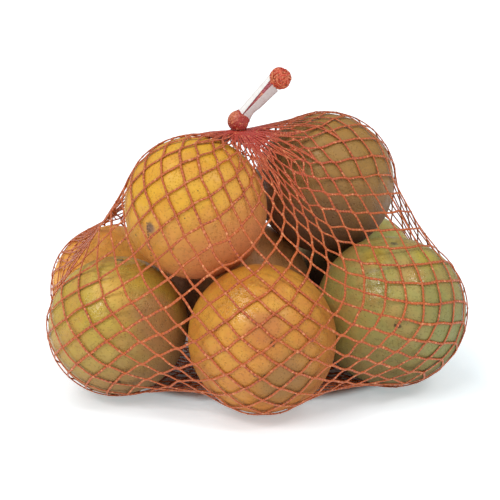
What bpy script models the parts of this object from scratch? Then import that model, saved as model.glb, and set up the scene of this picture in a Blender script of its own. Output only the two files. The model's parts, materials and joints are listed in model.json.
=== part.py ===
"""A net of oranges, resting on a flat surface.

Six oranges stand on the floor and two lie on top of them. A knitted net bag is pulled taut
round all eight and gathered above them into a ball. The tail of the net leans away from the
ball through a white sleeve, and ends in a tuft. The full bag is one closed solid, out to the
skin that the taut net makes, and the ball, the sleeve and the tuft are solids of their own.

Metres, +Z up. The origin is the middle of the base, and +X is along the bag's length.
"""

import math

import bmesh
import bpy
import numpy as np

MM = 0.001
NAME = "net_of_oranges"

# The net: how far its strands stand out from the fruit, and the gap left between touching pieces.
NET_THICKNESS = 1.2 * MM
PIECE_GAP = 0.3 * MM

# The oranges on the floor: name, then x, y and radius in millimetres.
FLOOR_ORANGES = {
    "front_left": (-68.3, -33.0, 36.3),
    "front_middle": (6.6, -57.4, 37.7),
    "front_right": (75.2, -20.1, 40.2),
    "back_left": (-80.0, 38.1, 35.4),
    "back_middle": (-4.4, 18.6, 38.7),
    "back_right": (63.7, 57.3, 37.8),
}
# The oranges on top: the radius, and the three that each one lies on with the play at each.
TOP_ORANGES = {
    "top_left": (37.3, {"front_left": 0.2, "front_middle": 0.5, "back_middle": 0.8}),
    "top_right": (38.0, {"front_right": 1.9, "back_middle": 0.3, "back_right": 0.8}),
}

# The neck: the ball of gathered net, and the lean of the tail above it.
BALL_CENTRE = (-5.5 * MM, -6.0 * MM, 140.4 * MM)
BALL_RADIUS = 5.7 * MM
BALL_GATHERS = 9
BALL_GATHER_DEPTH = 0.05
BALL_ROWS = 14
TAIL_LEAN = math.radians(44.5)

# The sleeve: a plastic band wrapped round the tail, with its seam in front.
SLEEVE_LENGTH = 20.5 * MM
SLEEVE_WIDTH = 8.2 * MM
SLEEVE_DEPTH = 4.6 * MM
SLEEVE_WAIST = 0.08
SEAM_ANGLE = math.radians(-105)
SEAM_HALF_ANGLE = math.radians(20)
SEAM_DEPTH = 0.24
SLEEVE_OUTLINE_STEPS = 32
SLEEVE_SPANS = 6

# The tuft: the end of the net, a fluted dome. The swell's end and the dome's start and reach are
# shares of the tuft's length, and the dome reaches a little past the end, to leave it flat there.
TUFT_LENGTH = 10.5 * MM
TUFT_RADIUS = 5.5 * MM
TUFT_ROOT = 0.72
TUFT_FLUTES = 7
TUFT_FLUTE_DEPTH = 0.05
TUFT_SWELL_END = 0.8
TUFT_DOME_START = 0.35
TUFT_DOME_REACH = 0.66
TUFT_SPANS = 10

# The skin's mesh, and how it is drawn tight.
SKIN_ROUND = 72
SKIN_ROWS = 46
SKIN_LYING_ROWS = 11
SKIN_START = (0.150, 0.135, 0.085)
SKIN_START_HEIGHT = 0.070
SKIN_ROUNDS_OF_PULLING = 900
SKIN_STEP = 0.85
PULL_ALONG = 1.0
PULL_AROUND = 0.45
NECK_RADIUS = 3.6 * MM
NECK_PLEATS = 12
NECK_PLEAT_DEPTH = 0.7 * MM
NECK_PLEAT_REACH = 22 * MM

# How finely waves round an axis are cut, and the angle past which an edge stays sharp.
STEPS_PER_WAVE = 4
SHARP_ANGLE = math.radians(50)

MATERIALS = {
    "net": ((0.62, 0.13, 0.06, 1.0), 0.55),
    "sleeve": ((0.86, 0.84, 0.84, 1.0), 0.30),
}


def clear_scene():
    for scene_object in list(bpy.data.objects):
        bpy.data.objects.remove(scene_object, do_unlink=True)


def make_material(name):
    colour, roughness = MATERIALS[name]
    material = bpy.data.materials.new(name)
    material.use_nodes = True
    shader = material.node_tree.nodes["Principled BSDF"]
    shader.inputs["Base Color"].default_value = colour
    shader.inputs["Roughness"].default_value = roughness
    shader.inputs["Metallic"].default_value = 0.0
    material.diffuse_color = colour
    return material


def add_object(name, mesh_data, material, collection, parent=None):
    """A new object for a bmesh, with its material and its parent."""
    mesh = bpy.data.meshes.new(name)
    bmesh.ops.recalc_face_normals(mesh_data, faces=mesh_data.faces)
    mesh_data.to_mesh(mesh)
    mesh_data.free()
    mesh.shade_smooth()
    mesh.set_sharp_from_angle(angle=SHARP_ANGLE)
    mesh.materials.append(material)
    piece = bpy.data.objects.new(name, mesh)
    piece.parent = parent
    collection.objects.link(piece)
    return piece


def place_lying_on(under):
    """The centre of a ball that lies on three others, given as (centre, distance to it) pairs."""
    (first, reach_1), (second, reach_2), (third, reach_3) = under
    span = np.linalg.norm(second - first)
    along = (second - first) / span
    offset = along @ (third - first)
    across = third - first - offset * along
    rise = np.linalg.norm(across)
    across = across / rise
    upward = np.cross(along, across)
    upward = upward * math.copysign(1.0, upward[2])
    x = (reach_1**2 - reach_2**2 + span**2) / (2 * span)
    y = (reach_1**2 - reach_3**2 + offset**2 + rise**2 - 2 * offset * x) / (2 * rise)
    z = math.sqrt(reach_1**2 - x**2 - y**2)
    return first + x * along + y * across + z * upward


def place_oranges():
    """Every orange as its centre and its radius."""
    oranges = {}
    for name, (x, y, radius) in FLOOR_ORANGES.items():
        centre = np.array([x * MM, y * MM, radius * MM + NET_THICKNESS])
        oranges[name] = (centre, radius * MM)
    for name, (radius, under) in TOP_ORANGES.items():
        held = [
            (oranges[other][0], oranges[other][1] + (radius + play) * MM)
            for other, play in under.items()
        ]
        oranges[name] = (place_lying_on(held), radius * MM)
    return oranges


def pull_taut(points, links, pulls, held, lying, oranges):
    """Draws linked points together, outside the oranges and above the floor, until they are taut.

    The held points stay where they are, and the lying ones stay on the floor. Each round moves
    every other point towards the mean of the points it is linked to, weighed by the links' pulls,
    then back out to the surface of any orange that it has entered.
    """
    ends = np.concatenate([links, links[:, ::-1]])
    pull = np.concatenate([pulls, pulls])
    total = np.bincount(ends[:, 0], weights=pull, minlength=len(points))[:, None]
    resting = points[held].copy()
    for _ in range(SKIN_ROUNDS_OF_PULLING):
        mean = np.empty_like(points)
        for axis in range(3):
            mean[:, axis] = np.bincount(
                ends[:, 0], weights=pull * points[ends[:, 1], axis], minlength=len(points)
            )
        points = points + SKIN_STEP * (mean / total - points)
        for centre, radius in oranges.values():
            outward = points - centre
            distance = np.linalg.norm(outward, axis=1, keepdims=True)
            reach = radius + NET_THICKNESS
            points = np.where(distance < reach, centre + outward * reach / distance, points)
        points[:, 2] = np.maximum(points[:, 2], 0.0)
        points[lying, 2] = 0.0
        points[held] = resting
    return points


def pleat_neck(points, neck):
    """Folds the skin into pleats that spread from the neck and die out down the bag."""
    from_neck = points - neck
    flat = np.hypot(from_neck[:, 0], from_neck[:, 1])
    turn = np.arctan2(from_neck[:, 1], from_neck[:, 0])
    fade = np.exp(-((flat / NECK_PLEAT_REACH) ** 2)) * np.minimum(flat / NECK_PLEAT_REACH, 1.0)
    above = points[:, 2] > neck[2] - 2 * NECK_PLEAT_REACH
    points[:, 2] += np.where(above, NECK_PLEAT_DEPTH * fade * np.cos(NECK_PLEATS * turn), 0.0)
    return points


def make_bag(material, collection):
    """The full bag: a ball of skin drawn tight round the oranges and closed at the neck."""
    skin = bmesh.new()
    bmesh.ops.create_uvsphere(skin, u_segments=SKIN_ROUND, v_segments=SKIN_ROWS, radius=1.0)
    skin.verts.ensure_lookup_table()
    unit = np.array([vert.co for vert in skin.verts])
    links = np.array([[vert.index for vert in edge.verts] for edge in skin.edges])
    row = np.round(np.arccos(np.clip(unit[:, 2], -1, 1)) / math.pi * SKIN_ROWS).astype(int)

    points = unit * SKIN_START + np.array([0.0, 0.0, SKIN_START_HEIGHT])
    neck = np.array(BALL_CENTRE) - [0.0, 0.0, BALL_RADIUS + PIECE_GAP]
    collar = row == 1
    outward = unit[collar, :2] / np.linalg.norm(unit[collar, :2], axis=1, keepdims=True)
    points[row == 0] = neck
    points[collar] = neck
    points[collar, :2] += NECK_RADIUS * outward
    points[row == SKIN_ROWS] = 0.0
    held = np.flatnonzero((row <= 1) | (row == SKIN_ROWS))
    lying = np.flatnonzero(row >= SKIN_ROWS - SKIN_LYING_ROWS)
    around = row[links[:, 0]] == row[links[:, 1]]
    pulls = np.where(around, PULL_AROUND, PULL_ALONG)

    points = pull_taut(points, links, pulls, held, lying, place_oranges())
    points = pleat_neck(points, neck)
    for vert, place in zip(skin.verts, points):
        vert.co = place
    return add_object("net_bag", skin, material, collection)


def make_ball(material, collection, tail):
    """The gathered net above the oranges, a ball with shallow gathers along the tail's axis."""
    ball = bmesh.new()
    around = STEPS_PER_WAVE * BALL_GATHERS
    bmesh.ops.create_uvsphere(ball, u_segments=around, v_segments=BALL_ROWS, radius=BALL_RADIUS)
    for vert in ball.verts:
        flat = math.hypot(vert.co.x, vert.co.y) / BALL_RADIUS
        turn = math.atan2(vert.co.y, vert.co.x)
        draw_in = 1 - BALL_GATHER_DEPTH * flat * (1 - math.cos(BALL_GATHERS * turn)) / 2
        vert.co.x *= draw_in
        vert.co.y *= draw_in
    return add_object("neck_ball", ball, material, collection, tail)


def lofted(rings):
    """A closed bmesh through rings of points, all with as many points, and flat at both ends."""
    loft = bmesh.new()
    rows = [[loft.verts.new(point) for point in ring] for ring in rings]
    for lower, upper in zip(rows, rows[1:]):
        for i, vert in enumerate(lower):
            loft.faces.new((lower[i - 1], vert, upper[i], upper[i - 1]))
    loft.faces.new(reversed(rows[0]))
    loft.faces.new(rows[-1])
    return loft


def sleeve_ring(share, height):
    """The sleeve's outline at a share of its length: an oval with the seam's groove in front."""
    waist = 1 - SLEEVE_WAIST * math.sin(math.pi * share)
    points = []
    for step in range(SLEEVE_OUTLINE_STEPS):
        turn = 2 * math.pi * step / SLEEVE_OUTLINE_STEPS
        from_seam = (turn - SEAM_ANGLE + math.pi) % (2 * math.pi) - math.pi
        groove = SEAM_DEPTH * math.exp(-((from_seam / SEAM_HALF_ANGLE) ** 2))
        size = waist * (1 - groove) / 2
        points.append(
            (SLEEVE_WIDTH * size * math.cos(turn), SLEEVE_DEPTH * size * math.sin(turn), height)
        )
    return points


def make_sleeve(material, collection, tail):
    """The white band round the tail, from the top of the ball to the tuft."""
    start = BALL_RADIUS + PIECE_GAP
    shares = [i / SLEEVE_SPANS for i in range(SLEEVE_SPANS + 1)]
    rings = [sleeve_ring(share, start + share * SLEEVE_LENGTH) for share in shares]
    return add_object("neck_sleeve", lofted(rings), material, collection, tail)


def tuft_ring(share, start):
    """The tuft's outline at a share of its length: it swells from its root and rounds over."""
    swell = TUFT_ROOT + (1 - TUFT_ROOT) * math.sin(math.pi * min(share / TUFT_SWELL_END, 1.0))
    dome = math.sqrt(1 - max(0.0, (share - TUFT_DOME_START) / TUFT_DOME_REACH) ** 2)
    steps = STEPS_PER_WAVE * TUFT_FLUTES
    points = []
    for step in range(steps):
        turn = 2 * math.pi * step / steps
        flute = 1 - TUFT_FLUTE_DEPTH * (1 - math.cos(TUFT_FLUTES * turn)) / 2
        radius = TUFT_RADIUS * swell * dome * flute
        points.append(
            (radius * math.cos(turn), radius * math.sin(turn), start + share * TUFT_LENGTH)
        )
    return points


def make_tuft(material, collection, tail):
    """The end of the net beyond the sleeve, a fluted dome."""
    start = BALL_RADIUS + SLEEVE_LENGTH + 2 * PIECE_GAP
    rings = [tuft_ring(i / TUFT_SPANS, start) for i in range(TUFT_SPANS + 1)]
    return add_object("tail_tuft", lofted(rings), material, collection, tail)


def main():
    clear_scene()
    collection = bpy.data.collections.new(NAME)
    bpy.context.scene.collection.children.link(collection)
    net = make_material("net")
    white = make_material("sleeve")

    tail = bpy.data.objects.new("tail_axis", None)
    tail.location = BALL_CENTRE
    tail.rotation_euler = (0.0, TAIL_LEAN, 0.0)
    collection.objects.link(tail)

    make_bag(net, collection)
    make_ball(net, collection, tail)
    make_sleeve(white, collection, tail)
    make_tuft(net, collection, tail)


main()
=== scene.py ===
"""A net of oranges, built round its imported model.

Eight oranges lie in a knitted net. The net is worked out as a lattice of strands that is drawn
tight over the fruit, and is gathered above them into a ball. Its tail runs through a white
sleeve and ends in a tuft. The file is laid out as an add-on, with a step for each piece.
"""

import json
import math

import bmesh
import bpy
import numpy as np
from bpy.props import (
    CollectionProperty,
    FloatProperty,
    FloatVectorProperty,
    IntProperty,
    PointerProperty,
    StringProperty,
)
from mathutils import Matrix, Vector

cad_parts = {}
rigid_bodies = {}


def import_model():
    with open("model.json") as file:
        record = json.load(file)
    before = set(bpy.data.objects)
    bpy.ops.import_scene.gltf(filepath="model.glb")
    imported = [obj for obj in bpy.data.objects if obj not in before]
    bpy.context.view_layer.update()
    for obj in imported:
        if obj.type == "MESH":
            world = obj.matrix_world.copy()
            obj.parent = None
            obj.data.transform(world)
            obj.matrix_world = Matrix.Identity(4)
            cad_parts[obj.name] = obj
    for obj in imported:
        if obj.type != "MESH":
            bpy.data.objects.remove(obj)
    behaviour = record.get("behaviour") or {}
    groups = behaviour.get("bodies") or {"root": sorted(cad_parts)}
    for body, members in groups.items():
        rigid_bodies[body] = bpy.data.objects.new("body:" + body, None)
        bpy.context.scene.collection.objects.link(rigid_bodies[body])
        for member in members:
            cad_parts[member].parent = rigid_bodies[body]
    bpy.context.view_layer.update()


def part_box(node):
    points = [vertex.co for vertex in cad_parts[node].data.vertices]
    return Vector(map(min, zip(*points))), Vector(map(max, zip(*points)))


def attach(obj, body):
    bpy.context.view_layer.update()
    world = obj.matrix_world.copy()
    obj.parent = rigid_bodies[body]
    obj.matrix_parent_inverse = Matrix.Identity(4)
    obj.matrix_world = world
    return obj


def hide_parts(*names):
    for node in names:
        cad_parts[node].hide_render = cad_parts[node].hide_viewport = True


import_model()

bl_info = {
    "name": "Net of oranges",
    "version": (1, 0, 0),
    "blender": (4, 5, 0),
    "location": "View3D > Sidebar > Net of oranges",
    "description": "Builds a net of oranges piece by piece",
    "category": "Add Mesh",
}

MM = 0.001
BODY = "root"


def colour(red, green, blue):
    """A colour given as 0 to 255 on a screen, as the linear colour that shaders take."""
    linear = []
    for value in (red, green, blue):
        share = value / 255
        linear.append(share / 12.92 if share <= 0.04045 else ((share + 0.055) / 1.055) ** 2.4)
    return tuple(linear)


def scar(steps):
    """Small marks in a line down the top left orange: direction, size and depth of each."""
    marks = []
    for step in range(steps):
        x = -0.609 + 0.0024 * step
        z = -0.025 - 0.0413 * step - 0.0000315 * step**3
        marks.append((x, -math.sqrt(1 - x * x - z * z), z, 0.95, 0.85))
    return marks


# The oranges, in millimetres and screen colours. A mark or a shine is a direction from the
# orange's middle, a size and perhaps a depth; a tint is a direction, a size and a colour.
# Each orange's shade colour and light way paint shade on the peel: the side turned away from the light way
# takes the shade colour.
ORANGES = {
    "front_left": dict(
        middle=(-68.0, -33.0, 37.7), radius=36.5, peel=(188, 158, 60), blush=(188, 144, 62),
        shade=(148, 112, 68), light=(-0.45, -0.15, 0.88), seed=1, stem=(0.05, 0.05, 1.0),
        rings=0.32,
        marks=[(0.09, -0.83, -0.55, 1.4), (-0.93, -0.36, 0.02, 2.6)],
        shines=[(-0.27, -0.82, 0.51, 10)],
        tints=[(-0.0, -0.69, 0.72, 12, (214, 170, 72)), (0.66, -0.69, 0.3, 19, (168, 120, 74))],
    ),
    "front_middle": dict(
        middle=(6.6, -57.4, 38.9), radius=37.7, peel=(210, 149, 52), blush=(204, 132, 52),
        shade=(174, 103, 37), light=(-0.42, -0.21, 0.88), seed=2, stem=(-0.3, 0.5, -0.8),
        marks=[
            (0.12, -0.96, 0.26, 1.5), (-0.1, -0.98, -0.15, 0.9),
            (-0.05, -0.99, -0.17, 0.7), (0.02, -0.99, -0.15, 0.9),
        ],
        shines=[(-0.29, -0.62, 0.73, 13)],
        tints=[(0.33, -0.89, -0.3, 20, (146, 104, 52)), (0.07, -0.89, 0.46, 11, (186, 112, 56))],
    ),
    "front_right": dict(
        middle=(75.2, -20.1, 41.4), radius=40.2, peel=(164, 152, 80), blush=(175, 143, 76),
        shade=(119, 102, 56), light=(-0.25, -0.3, 0.92), seed=3, stem=(0.01, -0.11, 0.99),
        marks=[(-0.01, -0.99, 0.11, 1.5), (-0.06, -0.99, 0.12, 1.2)],
        shines=[(-0.28, -0.78, 0.57, 12), (0.27, -0.7, 0.67, 7)],
        tints=[
            (0.64, -0.76, 0.02, 26, (134, 132, 74)), (-0.29, -0.42, 0.86, 9, (176, 148, 48)),
            (0.38, -0.37, 0.85, 8, (176, 160, 58)),
        ],
    ),
    "back_left": dict(
        middle=(-78.8, 38.1, 36.9), radius=36.1, peel=(240, 174, 68), blush=(236, 160, 64),
        shade=(216, 142, 70), light=(-0.5, -0.3, 0.8), seed=4, stem=(-0.5, 0.8, 0.3),
    ),
    # back_middle's very dark shade colour paints the deep shadow on its left side, where it lies in the
    # gap behind the front oranges.
    "back_middle": dict(
        middle=(-4.2, 19.6, 40.8), radius=39.8, peel=(212, 152, 92), blush=(200, 142, 84),
        shade=(78, 52, 46), light=(0.68, -0.25, 0.69), seed=5, stem=(0.3, 0.9, 0.2),
    ),
    # back_right's dark shade colour paints shadow on its front left side, inside the bag.
    "back_right": dict(
        middle=(63.4, 58.2, 39.2), radius=38.3, peel=(188, 186, 100), blush=(198, 170, 88),
        shade=(84, 66, 54), light=(0.45, 0.55, 0.7), seed=6, stem=(0.5, 0.75, 0.43),
    ),
    "top_left": dict(
        middle=(-27.2, -25.5, 98.4), radius=37.3, peel=(220, 165, 41), blush=(216, 151, 41),
        shade=(218, 136, 86), light=(-0.5, -0.2, 0.84), seed=7, stem=(-0.2, 0.6, -0.77),
        marks=[
            *scar(14),
            (-0.572, -0.819, -0.032, 1.5, 0.6), (-0.556, -0.829, -0.056, 1.3, 0.5),
            (-0.579, -0.807, -0.117, 1.4, 0.6), (-0.572, -0.57, -0.589, 1.2, 0.6),
            (-0.546, -0.544, -0.637, 1.4, 0.5), (-0.789, -0.56, -0.251, 1.0),
            (-0.27, -0.897, -0.351, 1.6, 0.5), (-0.73, -0.574, -0.37, 1.0, 0.4),
        ],
        tints=[
            (-0.566, -0.82, -0.086, 3.0, (132, 98, 84)),
            (-0.592, -0.714, -0.373, 2.4, (150, 104, 84)),
        ],
    ),
    "top_right": dict(
        middle=(42.1, 19.6, 102.3), radius=38.8, peel=(163, 118, 53), blush=(156, 116, 53),
        shade=(124, 90, 67), light=(0.25, -0.05, 0.96), seed=8, stem=(0.6, 0.75, -0.2),
    ),
}

# Joints that are held where the real net lies: for a row of joints, the column and the place in
# millimetres of some of them. The rest of the net is drawn tight between these.
NET_CATCHES = {
    3: [(10, -12.5, -34.9, 132.1), (11, -5.6, -32.8, 129.4), (19, 21.2, -15, 122.3)],
    4: [(9, -26.1, -38.1, 134.2), (16, 14.4, -27.1, 115.1), (18, 20.2, -22.2, 114.5),
        (20, 27.6, -15.3, 121.5)],
    5: [(14, 13, -35.9, 111), (18, 25.1, -24, 109.2), (21, 29.8, -10.6, 127), (22, 31.8, -5.6, 131.9),
        (23, 38, 1.3, 136)],
    6: [(7, -50.3, -33.6, 127.5), (9, -33, -50.8, 126.2), (10, -23.3, -55.2, 121.7),
        (11, -11.9, -55.1, 116.6), (16, 22, -36.2, 102.5), (18, 30, -29.3, 101.5),
        (19, 31.3, -24.4, 107.9), (20, 34.2, -19.5, 113), (22, 36.5, -10, 126.6)],
    7: [(13, 11.1, -50, 99.2), (21, 43.8, -14.8, 120), (22, 48.1, -7, 129.5), (23, 51.6, 3.2, 135.7)],
    8: [(18, 40.6, -35.3, 91.4), (22, 54.2, -11.7, 121.4), (24, 59.8, 10.9, 135.1)],
    9: [(6, -63.7, -36.2, 105.8), (11, -9.5, -66.2, 92.2), (12, 2.3, -63.4, 88.4), (14, 24, -56.1, 84.5),
        (15, 32, -51.4, 83.7), (16, 38.2, -46.6, 83), (21, 59, -13.6, 112.1)],
    10: [(6, -69.6, -32.1, 98.5), (7, -62.1, -42.4, 96.9), (8, -53.8, -52.6, 98.2),
        (10, -30.9, -67, 94.4), (11, -18.2, -69.8, 90.3), (12, -3.9, -69, 83.2), (14, 20.6, -63.3, 79.4),
        (17, 46.7, -47.3, 78), (19, 58.8, -33.5, 88.4), (22, 67.9, -7.1, 112.3), (23, 71.9, 3, 119.5)],
    11: [(5, -76.3, -28.3, 89.5), (9, -38, -66.1, 87.9), (11, -12.1, -74, 81.1), (12, 2.6, -73.7, 77.4),
        (16, 48.4, -53.3, 72.3), (17, 56, -47.1, 75.4), (21, 73.7, -9.3, 102.7), (22, 75.3, 2.1, 109.8)],
    12: [(6, -76.8, -34.9, 81.4), (7, -67.3, -45.8, 81.8), (8, -56.5, -54.7, 81.6),
        (11, -18.7, -75.6, 77.6), (15, 36.7, -66.5, 66.2), (20, 75.9, -28.3, 87.6), (22, 81, -1.1, 101.5)],
    13: [(8, -52.4, -60.8, 74.1), (9, -38.7, -69.1, 73.3), (10, -25.9, -76.4, 71.4),
        (13, 19.2, -82.4, 65.2), (15, 45.8, -66, 60.3), (17, 68.3, -52.7, 67), (18, 75.3, -45.8, 73.2),
        (21, 86.3, -7.2, 92.3), (22, 84.7, 8.7, 95.4)],
    14: [(5, -92.2, -31, 66), (6, -85.5, -43.8, 68.4), (7, -74.2, -53.3, 68), (10, -31.9, -73.9, 66.1),
        (12, -3.7, -85.6, 62.8), (13, 12.3, -87.8, 61.7), (14, 27.9, -82.6, 58.5)],
    15: [(6, -84.6, -54.1, 63.1), (7, -71.4, -60.9, 61.8), (10, -25.5, -79.5, 58),
        (15, 50.7, -70.6, 50.6), (16, 65.5, -62.7, 52.8), (17, 78.5, -57.4, 57.8),
        (18, 86.8, -51.3, 65.2), (21, 94.2, -5.9, 80.1)],
    16: [(5, -101.1, -35.2, 54.5), (9, -50.2, -70.4, 53.8), (12, -3.7, -92.3, 51.3),
        (13, 13.8, -93.3, 50.5), (14, 30, -86.4, 48.2), (19, 95, -46.9, 65.1), (20, 100, -31.4, 71.9)],
    17: [(5, -100.9, -45.7, 49.6), (6, -90.6, -59.8, 49.8), (11, -10.8, -91, 45.2),
        (14, 38.5, -81.6, 42.3), (17, 86.4, -59.1, 47), (18, 96.4, -52.3, 54.9), (19, 103.4, -39.9, 63.5)],
    18: [(6, -97.8, -54.5, 43.2), (7, -84.8, -65.7, 42.3), (8, -69.4, -69.8, 41.6), (9, -52.7, -72, 42),
        (10, -34.3, -77.1, 40.6), (15, 47.4, -77.8, 37.1), (17, 80.7, -62, 39.7),
        (19, 104.3, -45.9, 54.1), (20, 109.4, -30.6, 61.2)],
    19: [(12, 6.6, -95.2, 32.2), (19, 111.2, -36.9, 51.1)],
    20: [(11, -17.9, -84.8, 27.7), (16, 64.4, -66.4, 28.8), (17, 82.4, -60, 29.6),
        (19, 110.1, -41.4, 42.3)],
    21: [(7, -77.5, -65, 21.4), (8, -61.2, -67.4, 24.1), (13, 24, -86.6, 21.1), (14, 40.3, -78.4, 24.5),
        (18, 106.3, -45.1, 32.3)],
    22: [(9, -50.9, -66.5, 20.6), (10, -34, -71.1, 21.5), (14, 32.7, -80.4, 18.2), (17, 81.9, -56, 20.1)],
    23: [(9, -39.9, -65.3, 16), (12, 7.6, -81, 8.6), (14, 40, -71.9, 16.7), (15, 54.2, -63.5, 16.9)],
    24: [(8, -61.8, -56.1, 8.2), (10, -29.1, -64.9, 13.7), (15, 43.7, -63.4, 13.9),
        (17, 80.4, -50.6, 11.8)],
    25: [(10, -22.3, -61.6, 10.8)],
}

# The way that column 0 of the net's first row faces, in degrees: column 10 faces -114.
FIRST_TURN = -114 - 10 * 360 / 38

# The net before it is drawn tight, from its neck down: a dome, a wall and a floor that stand
# outside the oranges, as shares of its rows and in millimetres.
DOME_END = 0.45
WALL_END = 0.75
WALL_RADII = (140, 124)
WALL_HEIGHT = 75
DOME_HEIGHT = 75
FLOOR_HEIGHT = 0.6
NARROWEST = 0.05
NECK_RING = 3.9
NET_FOOT = (4.0, -10.0, 1.5)
FOOT_RING = 6.0

MESH_SIDE = 9.8 * MM
STRAND_SIDES = 6
SETTLING_ROUNDS = 10
TIGHTENING_ROUNDS = 400
NECK_FOLDS = 130
SHOULDER_FOLDS = 24
FOLDS_FROM_NECK = np.array([30, -10, -12]) * MM

# Along the tail, from the ball's middle: where the sleeve starts, and how long it is.
SLEEVE_START = 4.1
SLEEVE_LENGTH = 22.6

FLOOR_REACH = 25.0
SENSOR_WIDTH = 36.0

# Inside this oval the floor gives no light of its own: its middle and its reaches.
OVAL_MIDDLE = (4 * MM, 25 * MM)
OVAL_REACHES = (86 * MM, 71 * MM)
ORANGE_CELLS = 62


def colour_setting(name, description, default):
    return FloatVectorProperty(
        name=name, description=description, default=default, subtype="COLOR", min=0, max=1
    )


def way_setting(name, description, default):
    return FloatVectorProperty(
        name=name, description=description, default=default, subtype="DIRECTION"
    )


def place_setting(name, description, default):
    """A place, whose default is given in millimetres."""
    return FloatVectorProperty(
        name=name, description=description, default=[value * MM for value in default],
        subtype="TRANSLATION", unit="LENGTH",
    )


def length_setting(name, description, default):
    """A length, whose default is given in millimetres."""
    return FloatProperty(name=name, description=description, default=default * MM, unit="LENGTH")


def angle_setting(name, description, default):
    """An angle, whose default is given in degrees."""
    return FloatProperty(
        name=name, description=description, default=math.radians(default), subtype="ANGLE"
    )


def share_setting(name, description, default):
    return FloatProperty(name=name, description=description, default=default, min=0, max=1)


def number_setting(name, description, default):
    return FloatProperty(name=name, description=description, default=default)


def whole_setting(name, description, default):
    return IntProperty(name=name, description=description, default=default)


class MarkSettings(bpy.types.PropertyGroup):
    """A dark mark or a shining patch on the peel."""

    direction: way_setting("Direction", "Where the mark is, seen from the middle", (0, -1, 0))
    size: length_setting("Size", "Radius of the mark", 1.5)
    depth: share_setting("Depth", "How strongly the mark shows", 1.0)


class TintSettings(bpy.types.PropertyGroup):
    """A patch of the peel with a colour of its own."""

    direction: way_setting("Direction", "Where the patch is, seen from the middle", (0, -1, 0))
    size: length_setting("Size", "Radius of the patch", 15)
    tone: colour_setting("Tone", "Colour of the patch", colour(200, 170, 70))


class OrangeSettings(bpy.types.PropertyGroup):
    """One orange."""

    name: StringProperty(name="Name", description="Where the orange lies", default="orange")
    middle: place_setting("Middle", "The orange's centre", (0, 0, 40))
    radius: length_setting("Radius", "The orange's largest radius", 38)
    peel: colour_setting("Peel", "Colour of most of the peel", colour(228, 168, 66))
    blush: colour_setting("Blush", "Colour of the peel's patches", colour(222, 148, 66))
    # Painted shade: the dull side colour is blended into the peel on the side turned away from the light
    # way, in place of shade.
    shade: colour_setting("Dull side", "Colour of the peel's dull side", colour(168, 112, 62))
    light: way_setting("Bright side", "The way that the bright side faces", (-0.5, -0.3, 0.8))
    stem: way_setting("Stem", "The way that the stem end faces", (0, 0, 1))
    rings: length_setting("Rings", "Height of the ridges round the stem", 0)
    seed: whole_setting("Seed", "Picks the peel's own unevenness", 1)
    marks: CollectionProperty(type=MarkSettings)
    shines: CollectionProperty(type=MarkSettings)
    tints: CollectionProperty(type=TintSettings)


class NetSettings(bpy.types.PropertyGroup):
    """The knitted net."""

    rows: whole_setting("Rows", "Rows of meshes from neck to foot", 34)
    columns: whole_setting("Columns", "Joints in a row", 38)
    shortest: length_setting("Shortest side", "A mesh side that is slack", 3.0)
    longest: length_setting("Longest side", "A mesh side that is stretched", 11.0)
    tension: share_setting("Tension", "How far a joint moves towards its neighbours", 0.15)
    width: length_setting("Strand width", "Width of a strand", 1.26)
    thickness: length_setting("Strand thickness", "Thickness of a strand", 0.7)
    strand: colour_setting("Strand", "Colour of the strands", colour(188, 89, 28))
    deep: colour_setting("Folds", "Colour between the stitches", colour(146, 52, 31))
    # The flecks' colour is painted glints: pale spots on the yarn that stand in for small highlights.
    bright: colour_setting("Flecks", "Colour of the glinting flecks", colour(243, 162, 108))


class NeckSettings(bpy.types.PropertyGroup):
    """The gathered neck and its sleeve."""

    gathered: colour_setting("Gathered net", "Colour of the gathered net", colour(172, 50, 38))
    sleeve: colour_setting("Sleeve", "Colour of the sleeve", colour(238, 236, 232))
    # The tint is the red net seen through the film, and it also paints shade: it greys the sleeve's right
    # facet and its left edge.
    tint: colour_setting("Tint", "Colour of the net through the sleeve", colour(184, 152, 148))
    root: colour_setting("Below the ball", "Colour of the net at the ball", colour(188, 62, 50))
    tuft: colour_setting("Tuft", "Colour of the strand ends", colour(208, 58, 32))
    # On the ball this pale colour is painted light on the side that faces the lamps; in the tuft it makes
    # some strands paler at random.
    lit: colour_setting("Pale net", "Colour of the net's stretched places", colour(226, 142, 92))
    core: colour_setting("Core", "Colour of the net in the sleeve's seam", colour(166, 58, 66))
    core_end: colour_setting("Core's end", "Colour of the core near the tuft", colour(208, 116, 128))
    ends: whole_setting("Ends", "Strand ends in the tuft", 150)


class StageSettings(bpy.types.PropertyGroup):
    """The floor, the lights and the camera."""

    floor: colour_setting("Floor", "Colour of the floor", (0.90, 0.93, 0.96))
    daylight: number_setting("Daylight", "Strength of the light from all round", 0.53)
    key: number_setting("Key light", "Strength of the light from the left", 0.70)
    top: number_setting("Top light", "Strength of the light from above", 0.54)
    side: number_setting("Side light", "Strength of the light from the right", 0.39)
    glint: number_setting("Glints", "Strength of the small, sharp lights", 0.30)
    softness: angle_setting("Softness", "How wide each light looks from the bag", 24)
    glow: number_setting("Floor glow", "Light that the floor gives by itself", 0.37)
    camera: place_setting("Camera", "Where the camera stands", (0.71, -578.77, 224.97))
    pitch: angle_setting("Pitch", "How far the camera looks down", 15.07)
    lens: number_setting("Lens", "Focal length in millimetres", 79.41)


class BagSettings(bpy.types.PropertyGroup):
    """All settings of the net of oranges."""

    oranges: CollectionProperty(type=OrangeSettings)
    net: PointerProperty(type=NetSettings)
    neck: PointerProperty(type=NeckSettings)
    stage: PointerProperty(type=StageSettings)


# ---------------------------------------------------------------- materials


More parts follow.
